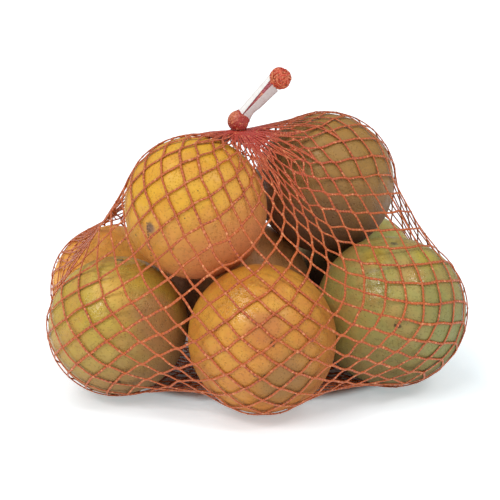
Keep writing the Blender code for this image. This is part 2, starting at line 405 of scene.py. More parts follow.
class Value:
    """A node's output, with arithmetic that adds Math nodes."""

    def __init__(self, finish, socket):
        self.finish = finish
        self.socket = socket

    def maths(self, operation, *others, clamp=False):
        settings = {"operation": operation, "use_clamp": clamp}
        return self.finish.add("ShaderNodeMath", settings, dict(enumerate((self, *others))))

    def __add__(self, other):
        return self.maths("ADD", other)

    def __sub__(self, other):
        return self.maths("SUBTRACT", other)

    def __mul__(self, other):
        return self.maths("MULTIPLY", other)

    def __truediv__(self, other):
        return self.maths("DIVIDE", other)

    def __rsub__(self, other):
        return self.finish.add("ShaderNodeMath", {"operation": "SUBTRACT"}, {0: other, 1: self})

    __radd__ = __add__
    __rmul__ = __mul__

    def sine(self):
        return self.maths("SINE")

    def most(self, other):
        return self.maths("MAXIMUM", other)

    def clamped(self):
        return self.maths("ADD", 0.0, clamp=True)

    def ramp(self, low, high):
        """0 below low and 1 above high, or the other way round, and smooth between."""
        values = {0: self, 1: min(low, high), 2: max(low, high)}
        rise = self.finish.add("ShaderNodeMapRange", {"interpolation_type": "SMOOTHSTEP"}, values)
        return 1 - rise if low > high else rise


class Finish:
    """A material under construction. Scales of noise and cells are in turns to the metre."""

    def __init__(self, name):
        self.material = bpy.data.materials.new(name)
        self.material.use_nodes = True
        self.tree = self.material.node_tree
        self.shader = self.tree.nodes["Principled BSDF"]

    def fill(self, socket, value):
        if isinstance(value, Value):
            self.tree.links.new(value.socket, socket)
        else:
            socket.default_value = value

    def add(self, kind, settings=None, values=None, output=0):
        """A new node: its settings are set first, then the values or links of its sockets."""
        node = self.tree.nodes.new(kind)
        for key, setting in (settings or {}).items():
            setattr(node, key, setting)
        for key, value in (values or {}).items():
            self.fill(node.inputs[key], value)
        return Value(self, node.outputs[output])

    def place(self, shift=(0, 0, 0)):
        """The point's place on the piece, moved by a shift so that like pieces differ."""
        here = self.add("ShaderNodeTexCoord", output="Object")
        return self.vector("ADD", here, shift) if any(shift) else here

    def vector(self, operation, first, second, output=0):
        values = {0: first, 1: second}
        return self.add("ShaderNodeVectorMath", {"operation": operation}, values, output)

    def stored(self, name):
        return self.add("ShaderNodeAttribute", {"attribute_name": name}, output="Fac")

    def noise(self, place, scale, detail=2.0, roughness=0.5):
        values = {"Vector": place, "Scale": scale, "Detail": detail, "Roughness": roughness}
        return self.add("ShaderNodeTexNoise", None, values)

    def cells(self, place, scale, output="Distance"):
        return self.add("ShaderNodeTexVoronoi", None, {"Vector": place, "Scale": scale}, output)

    def red_of(self, colours):
        return self.add("ShaderNodeSeparateColor", None, {0: colours})

    def mix(self, first, second, share):
        """A blend of two colours."""
        values = {0: share, 6: opaque(first), 7: opaque(second)}
        return self.add("ShaderNodeMix", {"data_type": "RGBA"}, values, 2)

    def scaled(self, colours, factor):
        """A colour made lighter or darker by a value."""
        settings = {"data_type": "RGBA", "blend_type": "MULTIPLY"}
        grey = self.add("ShaderNodeCombineColor", None, {0: factor, 1: factor, 2: factor})
        return self.add("ShaderNodeMix", settings, {0: 1.0, 6: colours, 7: grey}, 2)

    def bump(self, height, distance, strength):
        values = {"Strength": strength, "Distance": distance, "Height": height}
        return self.add("ShaderNodeBump", None, values)

    def finish(self, **sockets):
        """Links or sets the shader's sockets and returns the material."""
        for name, value in sockets.items():
            self.fill(self.shader.inputs[name.replace("_", " ")], value)
        return self.material


def opaque(value):
    """A plain colour with its alpha, or a link as it is."""
    return value if isinstance(value, Value) else (*tuple(value)[:3], 1.0)


def peel_finish(orange):
    """Orange peel: broad patches, painted shade on the side away from the light, fine mottling, pores,
    specks and the orange's own marks.
    """
    finish = Finish(f"peel_{orange.name}")
    here = finish.place()
    shifted = finish.place((orange.seed * 0.37, orange.seed * 0.21, orange.seed * 0.13))
    radius = orange.radius

    def away_from(spot):
        """How far a point is from the middle of a spot on the peel, in the spot's radii."""
        middle = tuple(axis * radius for axis in spot.direction)
        return finish.vector("DISTANCE", here, middle, "Value") / spot.size

    # Painted shade: towards the side that faces away from the light way, with noise along the border, the
    # peel takes its dull side colour.
    facing = finish.vector("DOT_PRODUCT", here, tuple(orange.light), "Value") / radius
    drift = finish.noise(shifted, 34, 3, 0.55) - 0.5
    bright = (facing + drift * 0.9).ramp(-0.75, 0.75)
    patches = finish.noise(shifted, 62, 4, 0.6).ramp(0.38, 0.66)
    skin = finish.mix(orange.peel, orange.blush, patches)
    skin = finish.mix(orange.shade, skin, bright)
    for tint in orange.tints:
        share = (away_from(tint) + drift * 1.4).ramp(1.15, 0.35)
        skin = finish.mix(skin, tint.tone, share * 0.85)

    mottle = finish.noise(shifted, 330, 4, 0.6)
    skin = finish.scaled(skin, (mottle - 0.5) * 0.34 + 1.0)
    pit = finish.cells(shifted, 760).ramp(0.42, 0.12)
    skin = finish.scaled(skin, 1 - pit * 0.13)

    chosen = finish.red_of(finish.cells(shifted, 165, "Color")).ramp(0.55, 0.6)
    specks = finish.cells(shifted, 165).ramp(0.085, 0.045) * chosen
    dust = finish.cells(shifted, 420).ramp(0.12, 0.07)
    dust = dust * finish.noise(shifted, 45, 2).ramp(0.5, 0.62)
    dirt = specks.most(dust * 0.6)
    rough_edge = (finish.noise(shifted, 420, 3) - 0.5) * 1.3
    for mark in orange.marks:
        spot = (away_from(mark) + rough_edge).ramp(1.05, 0.55)
        dirt = dirt.most(spot * (1.15 * mark.depth))
    skin = finish.mix(skin, colour(78, 58, 40), dirt * 0.75)

    waxy = finish.noise(shifted, 105, 4, 0.65).ramp(0.44, 0.62)
    height = (1 - pit) + mottle * 0.9 - dirt * 0.6
    dull = 0.52 - waxy * 0.16 + bright.ramp(0.6, 0.1) * 0.32
    for shine in orange.shines:
        gloss = (away_from(shine) + drift * 0.8).ramp(1.1, 0.6)
        height = height + finish.noise(shifted, 430, 2, 0.6) * gloss * 2.2
        dull = dull - (dull - 0.15) * gloss
    return finish.finish(
        Base_Color=skin,
        Roughness=dull,
        Specular_IOR_Level=0.4,
        Normal=finish.bump(height, 0.28 * MM, 0.75),
    )


def stalk_finish(name):
    """The dry button at the stem end."""
    finish = Finish(name)
    grain = finish.noise(finish.place(), 700, 4)
    tone = finish.mix(colour(92, 84, 52), colour(146, 132, 84), grain.ramp(0.35, 0.65))
    return finish.finish(
        Base_Color=tone, Roughness=0.75, Normal=finish.bump(grain, 0.3 * MM, 0.8)
    )


def net_finish(name, net, base, other=None, length_of_stitch=2.1 * MM):
    """Knitted plastic yarn: stitches along each strand, dark between them, with pale flecks that are
    painted glints.

    Where another colour is given, the stored glow says how much of it shows.
    """
    finish = Finish(name)
    here = finish.place()
    along = finish.stored("along")
    stitch = (along * (2 * math.pi / length_of_stitch)).sine() * 0.5 + 0.5
    yarn = finish.noise(here, 900, 3)
    if other is not None:
        base = finish.mix(base, other, finish.stored("glow"))
    lit = (stitch * 0.6 + yarn * 0.7 + finish.stored("shade") * 0.35).ramp(0.15, 0.85)
    tone = finish.mix(net.deep, base, lit)
    tone = finish.scaled(tone, finish.noise(here, 45, 2) * 0.3 + 0.85)
    # Painted glints: pale flecks, most on the stitches, stand in for highlights on the yarn.
    painted_glint = finish.noise(here, 560, 2).ramp(0.57, 0.68) * (stitch * 0.5 + 0.5)
    tone = finish.mix(tone, net.bright, painted_glint * 0.7)
    return finish.finish(
        Base_Color=tone,
        Roughness=0.5 - stitch * 0.16,
        Specular_IOR_Level=0.6,
        Normal=finish.bump(stitch + yarn * 0.6, 0.22 * MM, 0.9),
    )


def sleeve_finish(neck):
    """White, slightly stained film, with the stored tint of the net inside it; the tint also paints shade
    on the right facet and along the left edge.
    """
    finish = Finish("sleeve_band")
    here = finish.place()
    cloud = finish.noise(here, 160, 3)
    stained = (finish.stored("tint") * 0.62 + cloud.ramp(0.45, 0.75) * 0.22).clamped()
    grain = finish.noise(here, 1400, 2)
    return finish.finish(
        Base_Color=finish.mix(neck.sleeve, neck.tint, stained),
        Roughness=0.28 + cloud * 0.2,
        Normal=finish.bump(grain + cloud * 2.0, 0.12 * MM, 0.5),
    )


def floor_finish(stage):
    """Pale floor that gives light of its own beyond an oval round the bag."""
    finish = Finish("floor")
    oval = finish.place((-OVAL_MIDDLE[0], -OVAL_MIDDLE[1], 0))
    oval = finish.vector("MULTIPLY", oval, (1 / OVAL_REACHES[0], 1 / OVAL_REACHES[1], 0))
    away = finish.vector("LENGTH", oval, (0, 0, 0), "Value")
    grain = finish.noise(finish.place(), 3, 2)
    return finish.finish(
        Base_Color=finish.mix(stage.floor, (0.94, 0.96, 0.98), grain),
        Roughness=0.7,
        Emission_Color=finish.mix((0, 0, 0), (0.78, 0.95, 1.0), away.ramp(0.94, 1.08)),
        Emission_Strength=stage.glow,
    )


# ---------------------------------------------------------------- meshes


def unit(vectors):
    """Vectors of length 1, along the last axis."""
    return vectors / np.maximum(np.linalg.norm(vectors, axis=-1, keepdims=True), 1e-12)


def smoothstep(values, low, high):
    share = np.clip((values - low) / (high - low), 0, 1)
    return share * share * (3 - 2 * share)


def hill(values, middle, spread):
    """1 at the middle, falling smoothly to 0 on both sides of it."""
    return np.exp(-(((values - middle) / spread) ** 2))


def blend(first, second, share):
    return first * (1 - share) + second * share


def add_piece(name, node, shape, materials, origin=(0, 0, 0)):
    """A new smooth object that rides on the bag's body and stands for a node of the model.

    Its shape is corners, faces and the values that are stored at the corners.
    """
    corners, faces, values = shape
    mesh = bpy.data.meshes.new(name)
    mesh.from_pydata(np.asarray(corners) - np.asarray(origin), [], faces)
    for key, column in values.items():
        stored = mesh.attributes.new(key, "FLOAT", "POINT")
        stored.data.foreach_set("value", np.asarray(column, np.float32).ravel())
    mesh.shade_smooth()
    for material in materials:
        mesh.materials.append(material)
    piece = bpy.data.objects.new(name, mesh)
    piece.location = origin
    bpy.context.scene.collection.objects.link(piece)
    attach(piece, BODY)
    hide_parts(node)
    return piece


def sweep(paths, normals, widths, heights, sides=STRAND_SIDES):
    """Closed tubes along paths that all have as many points: their corners and faces."""
    tangents = unit(np.gradient(paths, axis=1))
    across = unit(np.cross(normals, tangents))
    upward = np.cross(tangents, across)
    turn = 2 * math.pi * np.arange(sides) / sides
    corners = (
        paths[:, :, None]
        + across[:, :, None] * (np.cos(turn)[:, None] * widths[:, :, None, None] / 2)
        + upward[:, :, None] * (np.sin(turn)[:, None] * heights[:, :, None, None] / 2)
    )
    index = np.arange(corners.size // 3).reshape(corners.shape[:3])
    beside = np.roll(index, -1, axis=2)
    quads = np.stack([index[:, :-1], beside[:, :-1], beside[:, 1:], index[:, 1:]], -1)
    caps = np.concatenate([index[:, 0, ::-1], index[:, -1]])
    return corners.reshape(-1, 3), quads.reshape(-1, 4).tolist() + caps.tolist()


def ring_faces(rings, points, flipped=False):
    """The faces between closed rings that all have as many points."""
    index = np.arange(rings * points).reshape(rings, points)
    beside = np.roll(index, -1, axis=1)
    quads = np.stack([index[:-1], beside[:-1], beside[1:], index[1:]], -1)
    if flipped:
        quads = quads[..., [0, 3, 2, 1]]
    return quads.reshape(-1, 4).tolist()


def at_corners(values, paths, sides=STRAND_SIDES):
    """Values along paths, repeated for the corners of the tubes round them."""
    return np.repeat(np.broadcast_to(values, paths.shape[:2]).ravel(), sides)


def joined(shapes):
    """Several shapes as one."""
    corners, faces, count = [], [], 0
    for some, more, _ in shapes:
        corners.append(some)
        faces += [[i + count for i in face] for face in more]
        count += len(some)
    keys = shapes[0][2]
    values = {key: np.concatenate([shape[2][key] for shape in shapes]) for key in keys}
    return np.concatenate(corners), faces, values


# ---------------------------------------------------------------- oranges


def round_mesh(cells):
    """A ball of even square cells: its unit corners and its faces."""
    ball = bmesh.new()
    bmesh.ops.create_cube(ball, size=2.0)
    bmesh.ops.subdivide_edges(ball, edges=ball.edges[:], cuts=cells - 1, use_grid_fill=True)
    ball.verts.ensure_lookup_table()
    corners = np.array([vert.co for vert in ball.verts])
    faces = [[vert.index for vert in face.verts] for face in ball.faces]
    ball.free()
    return unit(np.tan(corners * math.pi / 4)), faces


def waves(directions, seed, count, low, high):
    """A smooth random height over directions, from waves of low to high cycles, about -1 to 1."""
    random = np.random.default_rng(seed)
    ways = unit(random.normal(size=(count, 3)))
    pitch = random.uniform(low, high, count)
    start = random.uniform(0, 2 * math.pi, count)
    return np.cos(directions @ (ways * pitch[:, None]).T + start).sum(1) / math.sqrt(count)


def stem_axes(orange):
    """The way of the stem end and two ways across it."""
    stem = unit(np.array(orange.stem))
    side = np.cross(stem, (0.3, 0.4, 0.86))
    return stem, unit(side), unit(np.cross(stem, side))


def orange_relief(directions, orange):
    """How far the peel lies inside the orange's radius, in metres, for each direction."""
    stem, side, other = stem_axes(orange)
    from_stem = np.arccos(np.clip(directions @ stem, -1, 1)) * orange.radius
    from_tip = np.arccos(np.clip(-directions @ stem, -1, 1)) * orange.radius
    turn = np.arctan2(directions @ other, directions @ side)
    lumps = waves(directions, orange.seed, 14, 2.0, 5.0)
    dents = waves(directions, orange.seed + 50, 30, 9.0, 20.0)
    ripples = waves(directions, orange.seed + 90, 40, 30.0, 60.0)
    uneven = 0.55 * MM - 0.22 * MM * lumps - 0.075 * MM * dents - 0.03 * MM * ripples
    dimple = 1.5 * MM * hill(from_stem, 0, 6.5 * MM)
    ribs = 0.25 * MM * np.cos(7 * turn + orange.seed) * hill(from_stem, 6 * MM, 4 * MM)
    broken = 1 + 0.5 * waves(directions, orange.seed + 30, 10, 4.0, 8.0)
    rings = 1 + np.cos(from_stem * 2 * math.pi / (3.1 * MM) + 1.2 * lumps)
    rings = orange.rings * broken * rings * hill(from_stem, 15 * MM, 6 * MM)
    tip = 0.5 * MM * hill(from_tip, 0, 1.6 * MM)
    return np.maximum(uneven + dimple + ribs + rings + tip, 0.0)


def stalk_button(orange):
    """The little star-shaped button in the stem's dimple."""
    stem, side, other = stem_axes(orange)
    floor = orange.radius - float(orange_relief(stem[None], orange)[0]) - 0.15 * MM
    rings, points = 7, 30
    share = np.linspace(0, 1, rings)[:, None, None]
    turn = (2 * math.pi * np.arange(points) / points)[None, :, None]
    star = 1 + 0.16 * np.cos(5 * turn + orange.seed) + 0.05 * np.cos(11 * turn)
    rise = 0.75 * MM * (1 - share**2.5) - 0.35 * MM * hill(share, 0, 0.3)
    flat = np.cos(turn) * side + np.sin(turn) * other
    corners = stem * (floor + rise) + flat * (2.5 * MM * share * star)
    return corners.reshape(-1, 3), ring_faces(rings, points, flipped=True)


def make_orange(orange):
    directions, faces = round_mesh(ORANGE_CELLS)
    radius = orange.radius - orange_relief(directions, orange)
    middle = np.array(orange.middle)
    ball = (directions * radius[:, None], faces, {})
    corners, all_faces, values = joined([ball, (*stalk_button(orange), {})])
    materials = [peel_finish(orange), stalk_finish(f"stalk_{orange.name}")]
    shape = (corners + middle, all_faces, values)
    piece = add_piece(f"orange_{orange.name}", "net_bag", shape, materials, middle)
    slots = np.zeros(len(all_faces), np.int32)
    slots[len(faces):] = 1
    piece.data.polygons.foreach_set("material_index", slots)


# ---------------------------------------------------------------- the net


class Lattice:
    """The net's joints, as rows from the neck to the foot, and the strands between them.

    From each joint one strand goes down to the right and one down to the left, to joints of the
    next row, which stands half a mesh further round.
    """

    def __init__(self, net, oranges):
        self.rows = net.rows
        self.columns = net.columns
        self.shortest = net.shortest
        self.longest = net.longest
        self.tension = net.tension
        self.middles = np.array([orange.middle for orange in oranges])
        self.reaches = np.array([orange.radius for orange in oranges]) + net.thickness * 0.55
        self.low = net.thickness * 0.6
        low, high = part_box("neck_ball")
        self.neck = np.array([(low[0] + high[0]) / 2, (low[1] + high[1]) / 2, low[2] + 0.9 * MM])
        self.foot = np.array(NET_FOOT) * MM

    def right(self, row):
        """How many columns on the strand to the right ends, in the next row."""
        return row % 2

    def left(self, row):
        return row % 2 - 1

    def laid_out(self):
        """The net before it is drawn tight."""
        row = np.arange(self.rows + 1)[:, None]
        turn = (np.arange(self.columns)[None] + 0.5 * (row % 2)) * 2 * math.pi / self.columns
        turn = turn + math.radians(FIRST_TURN)
        ring = np.stack([np.cos(turn), np.sin(turn), 0 * turn], -1)
        points = np.zeros_like(ring)
        for row in range(self.rows + 1):
            down = row / self.rows
            if down < DOME_END:
                arc = down / DOME_END * math.pi / 2
                out, height = math.sin(arc), WALL_HEIGHT + DOME_HEIGHT * math.cos(arc)
            elif down < WALL_END:
                out, height = 1.0, WALL_HEIGHT * (WALL_END - down) / (WALL_END - DOME_END)
            else:
                out, height = (1 - down) / (1 - WALL_END), FLOOR_HEIGHT
            out = max(out, NARROWEST)
            reach = (WALL_RADII[0] * out, WALL_RADII[1] * out, 0)
            points[row] = (ring[row] * reach + (0, 0, height)) * MM
        points[0] = self.neck + NECK_RING * MM * ring[0]
        points[-1] = self.foot + FOOT_RING * MM * ring[-1]
        return points

    def outside(self, points):
        """The points moved out of the oranges and above the floor."""
        for middle, reach in zip(self.middles, self.reaches):
            outward = points - middle
            distance = np.sqrt((outward * outward).sum(-1, keepdims=True))
            points = np.where(distance < reach, middle + outward * (reach / distance), points)
        points[..., 2] = np.maximum(points[..., 2], self.low)
        return points

    def between(self, points):
        """For each joint but those of the end rows, the mean of the four it is tied to."""
        mean = points.copy()
        for parity in (0, 1):
            rows = np.arange(1, self.rows)
            rows = rows[rows % 2 == parity]
            above, below = points[rows - 1], points[rows + 1]
            mean[rows] = (
                np.roll(above, self.right(parity + 1), 1)
                + np.roll(above, self.left(parity + 1), 1)
                + np.roll(below, -self.right(parity), 1)
                + np.roll(below, -self.left(parity), 1)
            ) / 4
        return mean

    def strands(self, way):
        """The pairs of joints that each strand of one way ties, row by row."""
        column = np.arange(self.columns)
        pairs = []
        for row in range(self.rows):
            start = row * self.columns + column
            end = (row + 1) * self.columns + (column + way(row)) % self.columns
            pairs.append(np.stack([start, end], 1))
        return np.array(pairs)

    def move(self, joints, pairs, free, wanted):
        """Moves the joints of each pair to the wanted distance, if they are free to move."""
        first, second = pairs[:, 0], pairs[:, 1]
        gap = joints[second] - joints[first]
        length = np.sqrt((gap * gap).sum(1)) + 1e-12
        excess = length - wanted(length, joints[first])
        share = np.maximum(free[first] + free[second], 1)
        step = (excess / length / share)[:, None] * gap
        joints[first] += step * free[first][:, None]
        joints[second] -= step * free[second][:, None]

    def side_length(self, length, _):
        """The nearest length that a mesh side can have."""
        return np.clip(length, self.shortest, self.longest)

    def room(self, length, places):
        """Joints of one row keep apart, but less and less towards the neck."""
        away = np.linalg.norm(places - self.neck, axis=1)
        return np.maximum(length, np.minimum(2.0 * MM, 0.7 * MM + 0.05 * away))

    def drawn_tight(self):
        """The net's joints once it is drawn tight over the oranges."""
        points = self.laid_out()
        ends = points[0].copy(), points[-1].copy()
        for _ in range(SETTLING_ROUNDS):
            points = points + 0.9 * (self.between(points) - points)
            points[0], points[-1] = ends
            points = self.outside(points)
        shape = points.shape
        strands = self.strands(self.right), self.strands(self.left)
        sides = [way[start::2].reshape(-1, 2) for way in strands for start in (0, 1)]
        index = np.arange(shape[0] * shape[1]).reshape(shape[:2])
        rows = np.stack([index, np.roll(index, -1, 1)], -1)[1:-1]
        rows = [rows[:, start::2].reshape(-1, 2) for start in (0, 1)]
        free = np.ones(shape[:2])
        free[0] = free[-1] = 0
        free = free.ravel()
        joints = points.reshape(-1, 3)
        held = [(row * self.columns + column, place)
                for row, catches in NET_CATCHES.items() for column, *place in catches]
        caught = np.array([joint for joint, _ in held])
        places = np.array([place for _, place in held]) * MM
        for step in range(TIGHTENING_ROUNDS):
            drawn = self.between(joints.reshape(shape)).reshape(-1, 3) - joints
            tension = self.tension * (2 if step < 0.6 * TIGHTENING_ROUNDS else 1)
            joints = joints + tension * drawn * free[:, None]
            for _ in range(2):
                joints[caught] = places
                for pairs in sides:
                    self.move(joints, pairs, free, self.side_length)
                for pairs in rows:
                    self.move(joints, pairs, free, self.room)
                joints = self.outside(joints)
        return joints.reshape(shape)

    def neighbours(self, points):
        """The joints up left, up right, down right and down left of every joint."""
        around = []
        for step in (-1, 1):
            for way in (self.right, self.left):
                other = points.copy()
                for row in range(max(0, -step), self.rows + 1 - max(0, step)):
                    shift = way(row + step) if step < 0 else -way(row)
                    other[row] = np.roll(points[row + step], shift, 0)
                around.append(other)
        return around


def lattice_frames(lattice, points):
    """At each joint: the way out of the bag, the way it is drawn out, and how strongly."""
    up_left, up_right, down_right, down_left = (
        other - points for other in lattice.neighbours(points)
    )
    round_bag = (down_right + up_right) - (down_left + up_left)
    upward = (up_left + up_right) - (down_left + down_right)
    outward = unit(points - points.mean((0, 1)))
    normal = unit(np.cross(round_bag, upward)) + 0.35 * outward
    for _ in range(2):
        normal = unit(normal)
        normal = normal + sum(lattice.neighbours(normal)) * 0.35
    normal = unit(normal)
    legs = [unit(leg) for leg in (up_left, up_right, down_right, down_left)]
    across = (legs[1] + legs[2] - legs[0] - legs[3]) / 4
    along = (legs[0] + legs[1] - legs[2] - legs[3]) / 4
    wide = np.linalg.norm(across, axis=2, keepdims=True)
    tall = np.linalg.norm(along, axis=2, keepdims=True)
    drawn = np.where(wide > tall, across, along)
    drawn = unit(drawn - (drawn * normal).sum(-1, keepdims=True) * normal)
    stretched = smoothstep(np.maximum(wide, tall)[..., 0], 0.72, 0.98)
    return normal, drawn, stretched


def strand_paths(lattice, points, frames, pairs, random, share):
    """Curved paths from joint to joint, leaving each joint along the way it is drawn out."""
    normal, drawn, stretched = (part.reshape(-1, *part.shape[2:]) for part in frames)
    joints = points.reshape(-1, 3)
    first, second = pairs[:, 0], pairs[:, 1]
    chord = joints[second] - joints[first]
    length = np.linalg.norm(chord, axis=1, keepdims=True)
    way = chord / length
    ends = []
    for joint, leaving in ((first, way), (second, -way)):
        forward = drawn[joint] * np.sign((leaving * drawn[joint]).sum(1, keepdims=True))
        beside = np.cross(normal[joint], forward)
        lean = (leaving * beside).sum(1, keepdims=True)
        reach = (0.2 + 1.1 * stretched[joint])[:, None] * MM
        start = joints[joint] + forward * reach + beside * np.clip(lean * 1.6, -1, 1) * 0.3 * MM
        ends.append((start, unit(leaving + 0.3 * forward)))
    (start, leave), (end, arrive) = ends
    share = share[..., None]
    pull = 0.9 * length[:, None]
    paths = (
        (2 * share**3 - 3 * share**2 + 1) * start[:, None]
        + (share**3 - 2 * share**2 + share) * leave[:, None] * pull
        + (3 * share**2 - 2 * share**3) * end[:, None]
        - (share**3 - share**2) * arrive[:, None] * pull
    )
    normals = blend(normal[first][:, None], normal[second][:, None], share)
    sideways = unit(np.cross(normals, way[:, None]))
    wobble = random.normal(0, 0.16 * MM, (len(pairs), 1, 1)) * np.sin(math.pi * share)
    return lattice.outside(paths + sideways * wobble), unit(normals)


def gather_scale(points, neck):
    """Strands are a little thinner near the neck, where they are drawn into the ball."""
    away = np.linalg.norm(points - neck, axis=-1)
    return 0.85 + 0.15 * smoothstep(away, 20 * MM, 60 * MM)


def near_neck(points, neck):
    """How much of the gathered net's red shows: most at the neck, some on the folds beside it."""
    away = np.linalg.norm(points - neck, axis=-1)
    from_folds = np.linalg.norm(points - neck - FOLDS_FROM_NECK, axis=-1)
    folds = 0.35 * (1 - smoothstep(from_folds, 10 * MM, 48 * MM))
    return np.maximum(1 - smoothstep(away, 8 * MM, 34 * MM), folds)


def strand_mesh(lattice, points, frames, pairs, net, random, first_row):
    share = np.linspace(0, 1, 12)[None]
    count = len(pairs)
    paths, normals = strand_paths(lattice, points, frames, pairs, random, share)
    scale = gather_scale(paths, lattice.neck)
    girth = random.normal(1, 0.07, (count, 1))
    fuller = 1 + 0.10 * np.cos(share * 2 * math.pi * 4 + girth * 40)
    widths = net.width * scale * girth * fuller
    heights = net.thickness * scale * (2 - fuller)
    corners, faces = sweep(paths, normals, widths, heights)
    row = first_row + np.arange(count)[:, None] // lattice.columns
    values = {
        "along": at_corners(
            (row + share) * MESH_SIDE + random.uniform(0, MESH_SIDE, (count, 1)), paths
        ),
        "shade": at_corners(random.uniform(0, 1, (count, 1)), paths),
        "glow": near_neck(corners, lattice.neck),
    }
    return corners, faces, values


def joint_mesh(lattice, points, frames, random):
    """The knots: flattened lumps, drawn out the way that each joint is pulled."""
    normal, drawn, stretched = (part[1:-1].reshape(-1, *part.shape[2:]) for part in frames)
    middles = points[1:-1].reshape(-1, 3)
    count = len(middles)
    scale = gather_scale(middles, lattice.neck)
    long = (0.95 + 1.2 * stretched) * MM * scale
    wide = 0.82 * MM * scale * random.normal(1, 0.08, count)
    tall = 0.5 * MM * scale
    across = np.cross(normal, drawn)
    rings, sides = 7, 8
    corners = [middles - drawn * long[:, None]]
    for ring in range(1, rings):
        share = -math.cos(math.pi * ring / rings)
        swell = (1 - share**2) ** 0.42
        twist = 0.35 * math.sin(ring * 2.1)
        for side in range(sides):
            turn = 2 * math.pi * side / sides + twist
            knot = 1 + 0.10 * math.cos(3 * turn + ring * 2.0)
            corners.append(
                middles
                + drawn * (long * share)[:, None]
                + across * (wide * swell * knot * math.cos(turn))[:, None]
                + normal * (tall * swell * knot * math.sin(turn))[:, None]
            )
    corners.append(middles + drawn * long[:, None])
    corners = np.stack(corners, 1)
    last = corners.shape[1] - 1
    final_ring = last - sides
    one = []
    for side in range(sides):
        beside = (side + 1) % sides
        one.append((0, 1 + beside, 1 + side))
        one.append((last, final_ring + side, final_ring + beside))
        for lower in range(1, final_ring, sides):
            upper = lower + sides
            one.append((lower + side, lower + beside, upper + beside, upper + side))
    starts = range(0, count * (last + 1), last + 1)
    faces = [[corner + start for corner in face] for start in starts for face in one]
    stretch = np.linspace(0, 2 * math.pi, last + 1)
    flat = corners.reshape(-1, 3)
    values = {
        "along": (stretch[None] * 0.4 * MM + random.uniform(0, 5 * MM, (count, 1))).ravel(),
        "shade": np.repeat(random.uniform(0, 1, count), last + 1),
        "glow": near_neck(flat, lattice.neck),
    }
    return flat, faces, values


def on_net(points, row, turn):
    """Places on the net: a row that need not be whole, and a turn round the bag in columns."""
    columns = points.shape[1]
    sides = []
    for step in (0, 1):
        whole = np.minimum(np.floor(row).astype(int) + step, len(points) - 1)
        column = turn - 0.5 * (whole % 2)
        low = np.floor(column).astype(int)
        here, beside = points[whole, low % columns], points[whole, (low + 1) % columns]
        sides.append(blend(here, beside, (column - low)[..., None]))
    return blend(*sides, (row - np.floor(row))[..., None])


def neck_folds(lattice, points, random):
    """Folds from the neck, longest to its right: the row and the turn of both ends of each."""
    column = random.integers(0, lattice.columns, NECK_FOLDS)
    way = points[2, column] - lattice.neck
    aside = np.arctan2(way[:, 1], way[:, 0]) - math.radians(-15)
    reach = (1 + np.cos(aside)) * random.uniform(0.4, 2.6, NECK_FOLDS)
    last = 2 + np.round(reach).astype(int)
    turn = column + 0.5 * (last % 2)
    drift = random.uniform(-0.5, 0.5, NECK_FOLDS)
    return [0 * last, turn - drift * last], [last, turn]


def shoulder_folds(random):
    """Folds over the bag's left shoulder, which fan out from the saddle above it."""
    turn = random.uniform(0.6, 5.4, SHOULDER_FOLDS)
    first = [random.uniform(8.6, 11.0, SHOULDER_FOLDS), turn]
    across = random.uniform(-2.4, 1.6, SHOULDER_FOLDS)
    return first, [random.uniform(12.0, 17.5, SHOULDER_FOLDS), turn * 0.55 + across]


def fold_mesh(lattice, points, normal, net, random):
    """Slack strands that lie over the net, each from one place on it to another."""
    folds = neck_folds(lattice, points, random), shoulder_folds(random)
    (first_row, first_turn), (last_row, last_turn) = (
        [np.concatenate(pair).astype(float)[:, None] for pair in zip(*ends)]
        for ends in zip(*folds)
    )
    count, steps = len(first_row), 24
    share = np.linspace(0, 1, steps)[None]
    arch = np.sin(math.pi * share)
    row = blend(first_row, last_row, share)
    turn = blend(first_turn, last_turn, share) + random.normal(0, 0.35, (count, 1)) * arch
    normals = unit(on_net(normal, row, turn))
    raised = random.uniform(0.1, 0.7, (count, 1, 1)) * arch[..., None]
    paths = lattice.outside(on_net(points, row, turn) + normals * raised * MM)
    widths = net.width * random.uniform(0.5, 0.9, (count, 1)) * np.ones((1, steps))
    corners, faces = sweep(paths, normals, widths, widths * 0.6)
    values = {
        "along": at_corners(row * 10 * MM + random.uniform(0, 9 * MM, (count, 1)), paths),
        "shade": at_corners(random.uniform(0, 1, (count, 1)), paths),
        "glow": near_neck(corners, lattice.neck),
    }
    return corners, faces, values


def collar_mesh(lattice, points, normal, random):
    """The crushed pleats right under the ball, where no gaps are left between the strands."""
    rings, per_column = 9, 4
    ways = lattice.columns * per_column
    turn = np.arange(ways) / per_column
    uneven = np.repeat(random.uniform(-1, 1, lattice.columns), per_column)
    reach = 1.1 + 0.45 * np.cos(turn * 2 * math.pi) + 0.35 * uneven
    share = np.linspace(0, 1, rings)[:, None]
    row = share * np.maximum(reach, 0.5)[None]
    turns = np.broadcast_to(turn, row.shape)
    pleats = 0.22 * MM * np.cos(turns * 2 * math.pi * 2) * np.sin(math.pi * share)
    lifted = unit(on_net(normal, row, turns)) * (pleats - 0.25 * MM)[..., None]
    corners = on_net(points, row, turns) + lifted
    values = {
        "along": (row * 10 * MM + 0.4 * MM * np.sin(turns * 9)).ravel(),
        "shade": np.zeros(rings * ways),
    }
    return corners.reshape(-1, 3), ring_faces(rings, ways, flipped=True), values


# ---------------------------------------------------------------- the neck


